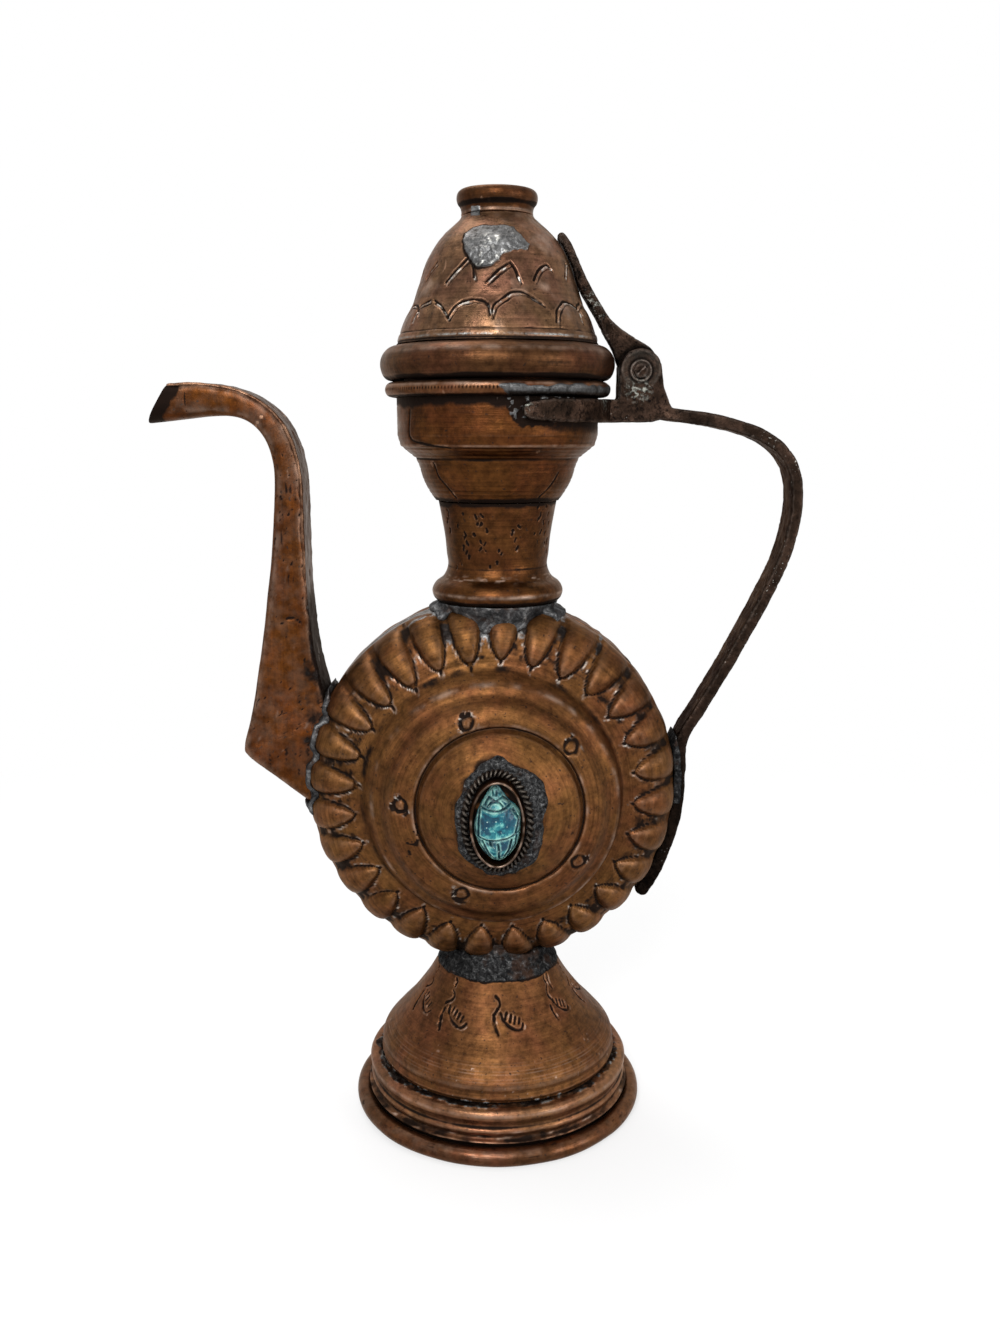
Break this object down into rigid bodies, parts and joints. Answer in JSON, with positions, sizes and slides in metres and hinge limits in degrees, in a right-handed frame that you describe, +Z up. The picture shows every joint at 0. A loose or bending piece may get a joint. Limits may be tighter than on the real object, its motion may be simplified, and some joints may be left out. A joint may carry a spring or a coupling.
{
  "type": "coffee pot",
  "caption": "Small copper coffee pot with a bell foot, flat round petalled belly, tall spout, strap handle and hinged domed lid.",
  "frame": {"origin": "on the table under the middle of the pot's box, between the spout's lip and the handle; the pot's own axis stands 4.95 mm to +X of it", "axes": "+Z up along the pot's axis, +X towards the handle, -X towards the spout, -Y towards the viewer and the scarab"},
  "size_m": [0.1707, 0.0819, 0.2501],
  "materials": {
    "copper": "brown patinated copper, rubbed bright on the high places, grimy in the grooves",
    "dark_metal": "dark pitted cast metal with rubbed edges",
    "solder": "dull grey soft solder",
    "faience": "mottled turquoise glaze with dark lines"
  },
  "bodies": {
    "pot": {"foot_rim_ring": "copper", "foot_step_ring": "copper", "foot_bell": "copper", "foot_solder_collar": "solder", "belly_front_shell": "copper", "belly_rear_shell": "copper", "seam_solder_left": "solder", "seam_solder_right": "solder", "scarab": "faience", "scarab_bezel": "copper", "bezel_rope": "copper", "bezel_solder": "solder", "spout_channel": "copper", "spout_back_strip": "copper", "spout_solder": "solder", "neck_solder_collar": "solder", "neck_tube": "copper", "neck_cup": "copper", "cup_rim_ring": "copper", "handle": "dark_metal", "handle_solder": "solder", "hinge_pin": "dark_metal"},
    "lid": {"lid_rim_bead": "copper", "lid_flange": "copper", "lid_dome": "copper", "lid_knob": "copper", "lid_arm": "dark_metal"}
  },
  "joints": [
    {"name": "lid_hinge", "type": "hinge", "parent": "pot", "child": "lid", "pos_m": [0.04195, 0, 0.2054], "axis": [0, 1, 0], "range_deg": [0, 120]}
  ]
}
